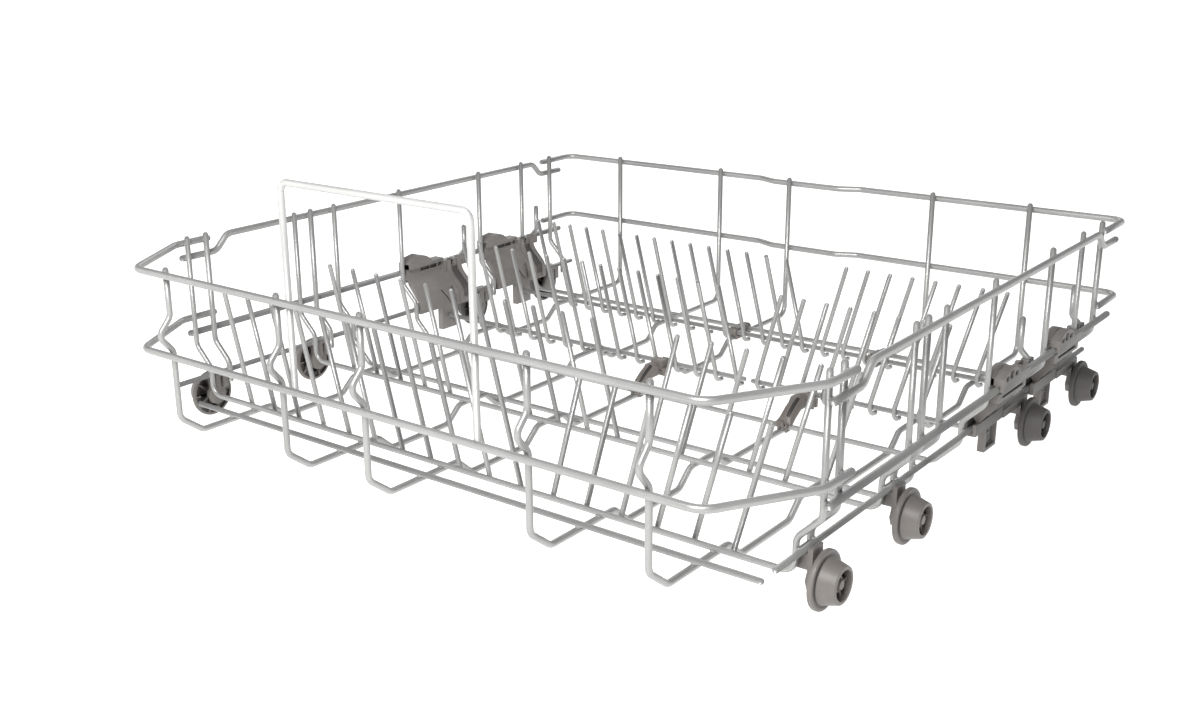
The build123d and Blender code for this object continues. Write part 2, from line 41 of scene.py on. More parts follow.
# Shader maths: a socket with operators, and one method for any other node
class Wave:
    def __init__(self, tree, socket):
        self.tree, self.socket = tree, socket

    def join(self, operation, other, swap=False):
        node = self.tree.nodes.new("ShaderNodeMath")
        node.operation = operation
        for place, value in zip((0, 1), (other, self) if swap else (self, other)):
            if isinstance(value, Wave):
                self.tree.links.new(value.socket, node.inputs[place])
            else:
                node.inputs[place].default_value = value
        return Wave(self.tree, node.outputs[0])

    def __add__(self, other): return self.join("ADD", other)
    def __radd__(self, other): return self.join("ADD", other, True)
    def __sub__(self, other): return self.join("SUBTRACT", other)
    def __rsub__(self, other): return self.join("SUBTRACT", other, True)
    def __mul__(self, other): return self.join("MULTIPLY", other)
    def __rmul__(self, other): return self.join("MULTIPLY", other, True)
    def __pow__(self, other): return self.join("POWER", other)


class Finish:
    def __init__(self, name):
        self.material = bpy.data.materials.new(name)
        self.material.use_nodes = True
        self.tree = self.material.node_tree
        self.shader = self.tree.nodes["Principled BSDF"]
        self.place = self.node("ShaderNodeTexCoord", output="Object")

    def node(self, kind, settings=None, output=0, **sockets):
        made = self.tree.nodes.new(kind)
        for key, value in (settings or {}).items():
            if key == "stops":
                ramp = made.color_ramp.elements
                for element, (spot, colour) in zip((ramp[0], ramp[1]), value):
                    element.position, element.color = spot, colour
            else:
                setattr(made, key, value)
        for key, value in sockets.items():
            socket = made.inputs[key.replace("_", " ")]
            if isinstance(value, Wave):
                self.tree.links.new(value.socket, socket)
            else:
                socket.default_value = value
        return Wave(self.tree, made.outputs[output])

    def noise(self, scale, detail=2.0, rough=0.5):
        sockets = dict(Vector=self.place, Scale=scale, Detail=detail, Roughness=rough)
        return self.node("ShaderNodeTexNoise", **sockets)

    def blendColour(self, factor, dark, light):
        a, b = (value if isinstance(value, Wave) else (*value, 1) for value in (dark, light))
        return self.node("ShaderNodeMixRGB", Fac=factor, Color1=a, Color2=b)

    def ramp(self, value, low, high):
        stops = [(low, (0, 0, 0, 1)), (high, (1, 1, 1, 1))]
        return self.node("ShaderNodeValToRGB", {"stops": stops}, Fac=value)

    def feed(self, **sockets):
        for key, value in sockets.items():
            socket = self.shader.inputs[key.replace("_", " ")]
            if isinstance(value, Wave):
                self.tree.links.new(value.socket, socket)
            else:
                socket.default_value = value

    def bump(self, height, strength, distance):
        normal = self.node("ShaderNodeBump", Height=height, Strength=strength, Distance=distance)
        self.feed(Normal=normal)


def coatedWireFinish(name, look):
    finish = Finish(name)
    cloud = finish.noise(*look["cloudNoise"])
    speck = finish.noise(*look["speckNoise"])
    skin = finish.noise(*look["skinNoise"])
    body = finish.blendColour(finish.ramp(cloud, *look["cloudStops"]), look["dark"], look["light"])
    flakes = finish.ramp(speck, *look["flakeStops"])
    finish.feed(Base_Color=finish.blendColour(flakes * look["flake"], body, look["glint"]))
    finish.feed(Roughness=look["rough"] + look["roughSpread"] * cloud, Metallic=look["metal"])
    finish.feed(Coat_Weight=look["coat"], Coat_Roughness=look["coatRough"])
    finish.bump(skin + look["speckPeel"] * speck, look["peel"], look["peelDeep"])
    return finish.material


def mouldedFinish(name, look):
    finish = Finish(name)
    cloud = finish.noise(*look["cloudNoise"])
    grain = finish.noise(*look["grainNoise"])
    dust = finish.noise(*look["dustNoise"])
    body = finish.blendColour(finish.ramp(cloud, *look["cloudStops"]), look["dark"], look["light"])
    worn = finish.ramp(dust, *look["dustStops"])
    surface = finish.blendColour(worn * look["dust"], body, look["pale"])
    # painted shade: an attribute on the mesh mixes the colour toward a near-black where shade would fall, in
    # the wheel pockets and on the carriers' outer faces
    paintedShade = finish.node("ShaderNodeAttribute", {"attribute_name": "paintedShade"}, output="Fac")
    finish.feed(Base_Color=finish.blendColour(paintedShade, surface, look["paintedShade"]))
    finish.feed(Roughness=look["rough"] + look["roughSpread"] * dust)
    finish.feed(Specular_IOR_Level=look["shine"])
    finish.bump(grain, look["grain"], look["grainDeep"])
    return finish.material


# Looks; each noise is given as scale, detail and roughness
wireLook = {
    "dark": (0.285, 0.285, 0.281), "light": (0.352, 0.352, 0.345), "glint": (0.66, 0.66, 0.65),
    "flake": 0.30, "rough": 0.34, "metal": 0.55, "coat": 0.25, "peel": 0.12,
    "cloudNoise": (14.0, 3.0), "speckNoise": (2600.0, 2.0, 0.6), "skinNoise": (700.0, 1.0),
    "cloudStops": (0.35, 0.68), "flakeStops": (0.58, 0.72), "roughSpread": 0.12,
    "coatRough": 0.22, "speckPeel": 0.35, "peelDeep": 0.0002,
}
hoopLook = dict(wireLook, dark=(0.43, 0.43, 0.42), light=(0.50, 0.50, 0.49), metal=0.35)
# each moulding look holds a near-black for the painted shade in pockets and on outer faces
taupeLook = {
    "dark": (0.122, 0.112, 0.104), "light": (0.152, 0.139, 0.130), "pale": (0.32, 0.30, 0.28),
    "paintedShade": (0.030, 0.027, 0.025), "dust": 0.10, "rough": 0.36, "grain": 0.10,
    "cloudNoise": (40.0, 3.0), "grainNoise": (2400.0, 2.0, 0.65), "dustNoise": (90.0, 4.0, 0.6),
    "cloudStops": (0.3, 0.7), "dustStops": (0.55, 0.8), "roughSpread": 0.15, "shine": 0.45,
    "grainDeep": 0.0003,
}
darkLook = dict(
    taupeLook, dark=(0.138, 0.128, 0.121), light=(0.182, 0.170, 0.161), pale=(0.34, 0.33, 0.32),
)
rearWheelLook = dict(
    taupeLook, dark=(0.058, 0.053, 0.051), light=(0.080, 0.074, 0.071), pale=(0.20, 0.19, 0.18), rough=0.5,
)
# painted shade: near-black for the dark strips and backings set where openings lie in shade
slotShadeLook = dict(
    taupeLook, dark=(0.022, 0.020, 0.019), light=(0.030, 0.028, 0.026), pale=(0.06, 0.06, 0.06),
)
clipLook = dict(
    taupeLook, dark=(0.120, 0.105, 0.096), light=(0.160, 0.143, 0.132), pale=(0.30, 0.28, 0.27),
)

finishes = {
    "wire": coatedWireFinish("silverGreyCoatedWire", wireLook),
    "hoop": coatedWireFinish("paleGreyCoatedHoop", hoopLook),
    "taupe": mouldedFinish("taupeMoulding", taupeLook),
    "dark": mouldedFinish("darkGreyMoulding", darkLook),
    "rearWheel": mouldedFinish("darkWheelMoulding", rearWheelLook),
    "clip": mouldedFinish("brownGreyClipMoulding", clipLook),
    "gap": mouldedFinish("shadedSlot", slotShadeLook),
}
print("finishes made:", len(finishes))


# Coated wire: rounds the corners of each path and runs a round section along it
def coatedWireTree():
    tree = bpy.data.node_groups.new("coatedWire", "GeometryNodeTree")
    face = tree.interface
    face.new_socket("Geometry", in_out="INPUT", socket_type="NodeSocketGeometry")
    sockets = {}
    kinds = {
        "Wire Radius": "Float", "Bend Radius": "Float", "Bend Steps": "Int",
        "Sides": "Int", "Finish": "Material",
    }
    for name, kind in kinds.items():
        sockets[name] = face.new_socket(name, in_out="INPUT", socket_type=f"NodeSocket{kind}").identifier
    face.new_socket("Geometry", in_out="OUTPUT", socket_type="NodeSocketGeometry")
    start, end = tree.nodes.new("NodeGroupInput"), tree.nodes.new("NodeGroupOutput")
    bend = tree.nodes.new("GeometryNodeFilletCurve")
    bend.mode = "POLY"
    bend.inputs["Limit Radius"].default_value = True
    section = tree.nodes.new("GeometryNodeCurvePrimitiveCircle")
    thick = tree.nodes.new("GeometryNodeInputRadius")
    tube = tree.nodes.new("GeometryNodeCurveToMesh")
    tube.inputs["Fill Caps"].default_value = True
    smooth = tree.nodes.new("GeometryNodeSetShadeSmooth")
    plain = tree.nodes.new("GeometryNodeRealizeInstances")
    paint = tree.nodes.new("GeometryNodeSetMaterial")
    for a, b in (
        (start.outputs["Geometry"], bend.inputs["Curve"]),
        (start.outputs["Bend Radius"], bend.inputs["Radius"]),
        (start.outputs["Bend Steps"], bend.inputs["Count"]),
        (start.outputs["Wire Radius"], section.inputs["Radius"]),
        (start.outputs["Sides"], section.inputs["Resolution"]),
        (bend.outputs["Curve"], tube.inputs["Curve"]),
        (section.outputs["Curve"], tube.inputs["Profile Curve"]),
        (thick.outputs["Radius"], tube.inputs["Scale"]),
        (tube.outputs["Mesh"], smooth.inputs["Geometry"]),
        (smooth.outputs["Geometry"], plain.inputs["Geometry"]),
        (plain.outputs["Geometry"], paint.inputs["Geometry"]),
        (start.outputs["Finish"], paint.inputs["Material"]),
        (paint.outputs["Geometry"], end.inputs["Geometry"]),
    ):
        tree.links.new(a, b)
    return tree, sockets


wireTree, wireSockets = coatedWireTree()
tubes = {"endSteps": (0.0, 0.12, 0.35, 0.65, 1.0), "endTip": 0.02, "bendSteps": 7, "sides": 16}


def plainMesh(maker, name):
    view = bpy.context.evaluated_depsgraph_get()
    mesh = bpy.data.meshes.new_from_object(maker.evaluated_get(view))
    piece = bpy.data.objects.new(name, mesh)
    bpy.context.scene.collection.objects.link(piece)
    bpy.data.objects.remove(maker)
    return piece


def domedPath(points, radius):
    # the last stretch at both ends narrows to a dome, as the dipped coat leaves it
    spots = [Vector(p) for p in points]

    def dome(tip, following):
        run, made = (following - tip).normalized(), []
        for s in tubes["endSteps"]:
            made.append((tip + run * radius * s, max(tubes["endTip"], math.sqrt(1 - (1 - s) ** 2))))
        return made

    head = dome(spots[0], spots[1])
    tail = dome(spots[-1], spots[-2])
    return head + [(p, 1.0) for p in spots[1:-1]] + tail[::-1]


def wirePiece(wire):
    curve = bpy.data.curves.new(wire["name"] + "Path", "CURVE")
    curve.dimensions = "3D"
    radius = wire["diameter"] / 2
    for path in wire["paths"]:
        domed = domedPath(path, radius)
        spline = curve.splines.new("POLY")
        spline.points.add(len(domed) - 1)
        for point, (spot, share) in zip(spline.points, domed):
            point.co = (*(spot * mm), 1)
            point.radius = share
    maker = bpy.data.objects.new(wire["name"] + "Maker", curve)
    bpy.context.scene.collection.objects.link(maker)
    step = maker.modifiers.new("coatedWire", "NODES")
    step.node_group = wireTree
    step[wireSockets["Wire Radius"]] = radius * mm
    step[wireSockets["Bend Radius"]] = wire["bend"] * mm
    step[wireSockets["Bend Steps"]] = wire.get("steps", tubes["bendSteps"])
    step[wireSockets["Sides"]] = wire.get("sides", tubes["sides"])
    step[wireSockets["Finish"]] = finishes[wire["finish"]]
    piece = plainMesh(maker, wire["name"])
    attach(piece, wire["body"])
    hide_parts(wire["node"])
    return piece


# Sizes of the basket in millimetres, stations counted from the front rim
basket = {
    "rim": 4.6, "upright": 4.0, "cross": 3.6, "hoop": 4.2, "tine": 3.0, "tineCoat": 3.25,
    "depth": 502.4, "frontY": -249.35, "rimX": 250.3, "rimZ": 127.0, "midRimZ": 73.0, "tipRise": 5.6,
    "frontTipRise": 4.0, "tineSides": 12, "fineSteps": 9, "endBend": 5.0,
}
frontY = basket["frontY"]
rearY = frontY + basket["depth"]
tipZ = basket["rimZ"] + basket["tipRise"]
frontTipZ = basket["rimZ"] + basket["frontTipRise"]
wallX = basket["rimX"] - basket["rim"] / 2
wires = []


def addWire(node, paths, diameter, bend, finish="wire", body="basket", **more):
    words = node.split("_")
    name = words[0] + "".join(word.capitalize() for word in words[1:])
    wires.append(dict(
        node=node, name=name, paths=paths, diameter=diameter, bend=bend, finish=finish, body=body, **more,
    ))


rims = {
    "cornerX": 216.2, "cornerRun": 57.5, "frontLeg": 87.0, "rearLeg": 458.5,
    "recess": 7.0, "recessLeft": -38.0, "recessRight": 37.0, "recessRun": 16.0, "bend": 14.0, "rearBend": 9.0,
}
for level, z in (("top", basket["rimZ"]), ("mid", basket["midRimZ"])):
    half = [
        (basket["rimX"], frontY + rims["frontLeg"], z),
        (basket["rimX"], frontY + rims["cornerRun"], z),
        (rims["cornerX"], frontY, z),
    ]
    mirrored = [(-x, y, z) for x, y, z in reversed(half)]
    addWire(f"front_{level}_rim", [half + mirrored], basket["rim"], rims["bend"], steps=basket["fineSteps"])
    inner, run = rearY - rims["recess"], rims["recessRun"] / 2
    addWire(f"rear_{level}_rim", [[
        (-basket["rimX"], frontY + rims["rearLeg"], z), (-basket["rimX"], rearY, z),
        (rims["recessLeft"] - run, rearY, z), (rims["recessLeft"] + run, inner, z),
        (rims["recessRight"] - run, inner, z), (rims["recessRight"] + run, rearY, z),
        (basket["rimX"], rearY, z), (basket["rimX"], frontY + rims["rearLeg"], z),
    ]], basket["rim"], rims["rearBend"], steps=basket["fineSteps"])

sides = {
    "joggle": 10.5, "rimFront": 102.0, "rimRear": 447.0, "rimEnds": (60.0, 487.0), "bend": 9.0,
    "midZ": 62.0, "midEnds": (61.0, 486.0), "lowZ": 33.0, "lowX": 235.8, "lowEnds": (36.0, 485.0),
}
for side, word in ((-1, "left"), (1, "right")):
    x, low = side * basket["rimX"], basket["rimZ"] - sides["joggle"]
    addWire(f"{word}_top_side_rim", [[
        (x, frontY + sides["rimEnds"][0], low), (x, frontY + sides["rimFront"] - sides["joggle"], low),
        (x, frontY + sides["rimFront"], basket["rimZ"]), (x, frontY + sides["rimRear"], basket["rimZ"]),
        (x, frontY + sides["rimRear"] + sides["joggle"], low), (x, frontY + sides["rimEnds"][1], low),
    ]], basket["rim"], sides["bend"])
    midPath = [(x, frontY + end, sides["midZ"]) for end in sides["midEnds"]]
    addWire(f"{word}_mid_side_wire", [midPath], basket["rim"], basket["endBend"])
    lowPath = [(side * sides["lowX"], frontY + end, sides["lowZ"]) for end in sides["lowEnds"]]
    addWire(f"{word}_lower_side_wire", [lowPath], basket["cross"], basket["endBend"])

hoop = {"half": 72.4, "rise": 71.0, "foot": 3.0, "bend": 6.0}
hoopY = frontY + (basket["rim"] + basket["hoop"]) / 2
hoopEnds = (basket["midRimZ"] - hoop["foot"], basket["rimZ"] + hoop["rise"])
addWire("handle_hoop", [[
    (-hoop["half"], hoopY, hoopEnds[0]), (-hoop["half"], hoopY, hoopEnds[1]),
    (hoop["half"], hoopY, hoopEnds[1]), (hoop["half"], hoopY, hoopEnds[0]),
]], basket["hoop"], hoop["bend"], "hoop", steps=basket["fineSteps"])

floorRun = {
    "x": (-189.4, -83.7, -13.5, 107.6, 183.4), "plateauZ": 16.0, "grooveDrop": 10.7, "grooveRun": 12.5,
    "grooves": ((80.0, 159.5), (187.0, 291.0), (326.0, 402.0)),
    "bulge": 8.3, "bulgeTop": 98.2, "bulgeLow": 75.5, "bulgeFlat": 4.5, "bulgeSlope": 8.7,
    "footZ": 29.0, "footRun": 17.2, "bend": 8.0,
}
grooveZ = floorRun["plateauZ"] - floorRun["grooveDrop"]
uprightY = frontY + (basket["rim"] + basket["upright"]) / 2
for number, x in enumerate(floorRun["x"], 1):
    inRecess = rims["recessLeft"] < x < rims["recessRight"]
    backY = rearY - (basket["rim"] + basket["upright"]) / 2 - (rims["recess"] if inRecess else 0)
    bulgeY, bulgeMid = uprightY - floorRun["bulge"], floorRun["bulgeTop"] - floorRun["bulgeSlope"]
    path = [
        (x, uprightY, frontTipZ), (x, uprightY, floorRun["bulgeTop"]),
        (x, bulgeY, bulgeMid), (x, bulgeY, bulgeMid - floorRun["bulgeFlat"]),
        (x, uprightY, floorRun["bulgeLow"]), (x, uprightY, floorRun["footZ"]),
        (x, uprightY + floorRun["footRun"], floorRun["plateauZ"]),
    ]
    for begin, finish in floorRun["grooves"]:
        path += [
            (x, frontY + begin, floorRun["plateauZ"]), (x, frontY + begin + floorRun["grooveRun"], grooveZ),
            (x, frontY + finish - floorRun["grooveRun"], grooveZ), (x, frontY + finish, floorRun["plateauZ"]),
        ]
    path += [(x, backY, floorRun["plateauZ"]), (x, backY, tipZ)]
    addWire(f"floor_wire_{number}", [path], basket["upright"], floorRun["bend"])

loops = {
    "freeY": 45.9, "freeHalf": 225.0, "kneeTop": 53.5, "kneeLow": 39.5, "stubEnd": 25.0, "grooveKnee": 26.0,
    "stations": {
        "first_row_wire": 64.5, "second_row_wire": 161.9, "front_groove_wire": 201.6,
        "rear_groove_wire": 272.3, "rear_cross_wire": 426.1,
    },
    "stubs": (80.3, 177.7, 368.8, 466.0), "pins": (341.5, 438.7),
    "pinX": 240.0, "pinTop": 92.0, "pinKnee": 70.0, "pinFoot": 58.0, "pinBend": 6.0, "bend": 8.0,
}
crossZ = floorRun["plateauZ"] + (basket["upright"] + basket["cross"]) / 2
grooveCrossZ = grooveZ + (basket["upright"] + basket["cross"]) / 2
loopX = sides["lowX"] - basket["cross"] / 2
freeY = frontY + loops["freeY"]
freePath = [(side * loops["freeHalf"], freeY, crossZ) for side in (-1, 1)]
addWire("front_cross_wire", [freePath], basket["cross"], basket["endBend"])


def wallSide(sign, y, diameter):
    top, low = sign * (wallX - diameter / 2), sign * (loopX - diameter / 2)
    return [(top, y, tipZ), (top, y, loops["kneeTop"]), (low, y, loops["kneeLow"])]


for node, station in loops["stations"].items():
    y = frontY + station
    half = wallSide(-1, y, basket["cross"])
    low = half[-1][0]
    if "groove" in node:
        half += [(low, y, loops["grooveKnee"]), (low + loops["grooveKnee"] - grooveCrossZ, y, grooveCrossZ)]
    else:
        half += [(low, y, crossZ)]
    addWire(node, [half + [(-px, py, pz) for px, py, pz in reversed(half)]], basket["cross"], loops["bend"])
for side, word in ((-1, "left"), (1, "right")):
    stubs = []
    for station in loops["stubs"]:
        stub = wallSide(side, frontY + station, basket["upright"])
        stubs.append(stub + [(stub[-1][0], stub[-1][1], loops["stubEnd"])])
    addWire(f"{word}_stub_uprights", stubs, basket["upright"], loops["bend"])
    pinX, pinLow = side * loops["pinX"], side * (wallX - basket["upright"] / 2)
    pinShift = abs(pinLow) - loops["pinX"]
    pins = []
    for station in loops["pins"]:
        y = frontY + station
        pins.append([
            (pinX, y, loops["pinTop"]), (pinX, y, loops["pinKnee"]),
            (pinLow, y, loops["pinKnee"] - pinShift), (pinLow, y, loops["pinFoot"]),
        ])
    addWire(f"{word}_side_pins", pins, basket["upright"], loops["pinBend"])

rows = {"pitch": 24.26, "count": 17, "top": 97.0, "lean": 20.5, "leftLeaning": 11, "below": 3.2, "bend": 2.0}
rowX = [(i - (rows["count"] - 1) / 2) * rows["pitch"] for i in range(rows["count"])]
for node, wireNode in (("first_row_tines", "first_row_wire"), ("second_row_tines", "second_row_wire")):
    y = frontY + loops["stations"][wireNode] + (basket["cross"] + basket["tine"]) / 2
    paths = []
    for i, x in enumerate(rowX):
        lean = -rows["lean"] if i < rows["leftLeaning"] else rows["lean"]
        drop = lean * rows["below"] / (rows["top"] - crossZ)
        paths.append([(x - drop, y, crossZ - rows["below"]), (x + lean, y, rows["top"])])
    addWire(node, paths, basket["tineCoat"], rows["bend"], sides=basket["tineSides"])

racks = {
    "pitch": 17.42, "offset": -2.7, "count": 23, "leftLeaning": 15,
    "top": 88.5, "lean": 17.0, "leanStart": 3.0,
    "hookKnee": 1.6, "hookDepth": 5.0, "hookLow": 0.2, "hookTip": 5.8, "hookReach": 7.0, "bend": 5.0,
    "rod": 3.6, "rodZ": 20.6, "rodBend": 2.0,
    "rods": {
        "front_left": (312.0, -235.2, 56.0), "front_right": (312.0, 60.0, 235.2),
        "rear_left": (409.2, -235.2, -14.0), "rear_right": (409.2, -13.0, 235.2),
    },
}
rackX = [racks["offset"] + (i - (racks["count"] - 1) / 2) * racks["pitch"] for i in range(racks["count"])]
rodZ = racks["rodZ"]
for word, (station, start, end) in racks["rods"].items():
    y, body = frontY + station, f"{word}_rack"
    addWire(f"{word}_rack_rod", [[(start, y, rodZ), (end, y, rodZ)]], racks["rod"], racks["rodBend"], body=body)
    shaftY = y - (racks["rod"] + basket["tine"]) / 2
    paths = []
    for i, x in enumerate(rackX):
        if start < x < end:
            lean = -racks["lean"] if i < racks["leftLeaning"] else racks["lean"]
            paths.append([
                (x + lean, shaftY, racks["top"]), (x, shaftY, rodZ + racks["leanStart"]),
                (x, shaftY, rodZ - racks["hookKnee"]), (x, y + racks["hookLow"], rodZ - racks["hookDepth"]),
                (x, y + racks["hookReach"], rodZ - racks["hookTip"]),
            ])
    addWire(
        f"{word}_rack_tines", paths, basket["tineCoat"], racks["bend"], body=body, sides=basket["tineSides"],
    )

for wire in wires:
    wirePiece(wire)
print("coated wires made:", len(wires))


# Weld beads in the corners where wires cross
beads = {"radius": 1.75, "tineRadius": 1.45, "segments": 10, "rings": 6}


def beadTree():
    tree = bpy.data.node_groups.new("weldBeads", "GeometryNodeTree")
    face = tree.interface
    face.new_socket("Geometry", in_out="INPUT", socket_type="NodeSocketGeometry")
    size = face.new_socket("Bead Radius", in_out="INPUT", socket_type="NodeSocketFloat").identifier
    paintId = face.new_socket("Finish", in_out="INPUT", socket_type="NodeSocketMaterial").identifier
    face.new_socket("Geometry", in_out="OUTPUT", socket_type="NodeSocketGeometry")
    start, end = tree.nodes.new("NodeGroupInput"), tree.nodes.new("NodeGroupOutput")
    dots = tree.nodes.new("GeometryNodeMeshToPoints")
    ball = tree.nodes.new("GeometryNodeMeshUVSphere")
    ball.inputs["Segments"].default_value = beads["segments"]
    ball.inputs["Rings"].default_value = beads["rings"]
    spread = tree.nodes.new("GeometryNodeInstanceOnPoints")
    plain = tree.nodes.new("GeometryNodeRealizeInstances")
    smooth = tree.nodes.new("GeometryNodeSetShadeSmooth")
    paint = tree.nodes.new("GeometryNodeSetMaterial")
    for a, b in (
        (start.outputs["Geometry"], dots.inputs["Mesh"]),
        (start.outputs["Bead Radius"], ball.inputs["Radius"]),
        (dots.outputs["Points"], spread.inputs["Points"]),
        (ball.outputs["Mesh"], spread.inputs["Instance"]),
        (spread.outputs["Instances"], plain.inputs["Geometry"]),
        (plain.outputs["Geometry"], smooth.inputs["Geometry"]),
        (smooth.outputs["Geometry"], paint.inputs["Geometry"]),
        (start.outputs["Finish"], paint.inputs["Material"]),
        (paint.outputs["Geometry"], end.inputs["Geometry"]),
    ):
        tree.links.new(a, b)
    return tree, size, paintId


beadGroup, beadSize, beadPaint = beadTree()


def beadPiece(name, body, spots, radius):
    mesh = bpy.data.meshes.new(name + "Spots")
    mesh.from_pydata([Vector(s) * mm for s in spots], [], [])
    maker = bpy.data.objects.new(name + "Maker", mesh)
    bpy.context.scene.collection.objects.link(maker)
    step = maker.modifiers.new("weldBeads", "NODES")
    step.node_group = beadGroup
    step[beadSize] = radius * mm
    step[beadPaint] = finishes["wire"]
    piece = plainMesh(maker, name)
    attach(piece, body)


spots = []
plateauTop, grooveTop = floorRun["plateauZ"] + basket["upright"] / 2, grooveZ + basket["upright"] / 2
for x in floorRun["x"]:
    spots.append((x, freeY, plateauTop))
    for node, station in loops["stations"].items():
        spots.append((x, frontY + station, grooveTop if "groove" in node else plateauTop))
    for z in (basket["rimZ"], basket["midRimZ"]):
        inRecess = rims["recessLeft"] < x < rims["recessRight"]
        spots.append((x, frontY + basket["rim"] / 2, z))
        spots.append((x, rearY - basket["rim"] / 2 - (rims["recess"] if inRecess else 0), z))
for side in (-1, 1):
    for station in (*loops["stations"].values(), *loops["stubs"]):
        y = frontY + station
        onLeg = station < rims["frontLeg"] or station > rims["rearLeg"]
        inside = side * wallX
        spots.append((inside, y, basket["rimZ"]))
        spots.append((inside, y, sides["midZ"]))
        if onLeg:
            spots.append((inside, y, basket["midRimZ"]))
            spots.append((inside, y, basket["rimZ"] - sides["joggle"]))
        spots.append((side * loopX, y, sides["lowZ"]))
    for z in (basket["rimZ"], basket["midRimZ"]):
        spots.append((side * hoop["half"], frontY + basket["rim"] / 2, z))
    for station in loops["pins"]:
        spots.append((side * wallX, frontY + station, sides["midZ"]))
beadPiece("wallWeldBeads", "basket", spots, beads["radius"])
rowSpots = [
    (x, frontY + loops["stations"][node] + basket["cross"] / 2, crossZ)
    for node in ("first_row_wire", "second_row_wire") for x in rowX
]
beadPiece("rowWeldBeads", "basket", rowSpots, beads["tineRadius"])
for word, (station, start, end) in racks["rods"].items():
    rackSpots = [(x, frontY + station - racks["rod"] / 2, rodZ) for x in rackX if start < x < end]
    beadPiece(f"{word}RackWeldBeads", f"{word}_rack", rackSpots, beads["tineRadius"])
print("weld beads made")


# Turned pieces: a closed profile of (distance along the axle, radius) spun about the axle
def spinProfile(shape, profile, side, y, z, turns=56):
    rings = []
    for i in range(turns):
        angle = 2 * math.pi * i / turns
        rings.append([
            shape.verts.new(Vector((side * u, y + r * math.cos(angle), z + r * math.sin(angle))) * mm)
            for u, r in profile
        ])
    count = len(profile)
    for i in range(turns):
        here, there = rings[i], rings[(i + 1) % turns]
        for j in range(count):
            k = (j + 1) % count
            shape.faces.new((here[j], here[k], there[k], there[j]))


def roundedProfile(corners, steps=4):
    # corner list of (along, radius, rounding); each rounding becomes a short arc
    made = []
    count = len(corners)
    for i, (u, r, size) in enumerate(corners):
        here = Vector((u, r))
        if not size:
            made.append(tuple(here))
            continue
        before = (Vector(corners[i - 1][:2]) - here).normalized()
        after = (Vector(corners[(i + 1) % count][:2]) - here).normalized()
        a, b = here + before * size, here + after * size
        for step in range(steps + 1):
            t = step / steps
            made.append(tuple((1 - t) ** 2 * a + 2 * t * (1 - t) * here + t ** 2 * b))
    return made


def finishShape(shape, name, finish, body, replaced=(), sharpAngle=35.0):
    bmesh.ops.recalc_face_normals(shape, faces=shape.faces)
    mesh = bpy.data.meshes.new(name)
    shape.to_mesh(mesh)
    shape.free()
    mesh.materials.append(finishes[finish])
    mesh.shade_smooth()
    mesh.set_sharp_from_angle(angle=math.radians(sharpAngle))
    piece = bpy.data.objects.new(name, mesh)
    bpy.context.scene.collection.objects.link(piece)
    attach(piece, body)
    if replaced:
        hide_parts(*replaced)
    return piece


def addBlock(shape, corners, lift):
    # a prism from a polygon of corners, pushed along the lift vector
    low = [shape.verts.new(Vector(c) * mm) for c in corners]
    high = [shape.verts.new((Vector(c) + Vector(lift)) * mm) for c in corners]
    count = len(corners)
    shape.faces.new(low)
    shape.faces.new(high[::-1])
    for i in range(count):
        j = (i + 1) % count
        shape.faces.new((low[i], low[j], high[j], high[i]))


wheels = {
    "stations": (72.4, 169.8, 357.0, 454.2), "radius": 16.5, "flange": 3.2, "innerX": 243.2, "outerX": 256.0,
    "hub": 13.0, "hubEnd": 10.3, "wall": 2.0, "pocket": 10.6, "web": 1.6, "boss": 4.6, "bossEnd": 253.0,
    "bore": 2.55, "spoke": 1.5, "spokes": 5, "thinSpoke": 0.9, "recess": 14.6, "recessDeep": 1.5,
    "rounding": 1.1, "rimEdge": 0.9, "tipEdge": 0.7, "fold": 0.4, "soft": 0.3, "fine": 0.2,
    "axle": 2.5, "shoulder": 6.0, "armX": 240.6, "armGrip": 1.0, "play": 0.3, "head": 3.3, "headLong": 1.5,
    "axleCore": 0.2, "axleGrow": 0.01, "axleTurns": 32, "frontCount": 2,
    "shadeMargin": 0.4, "hubShade": 2.4, "recessShade": 1.0,
}


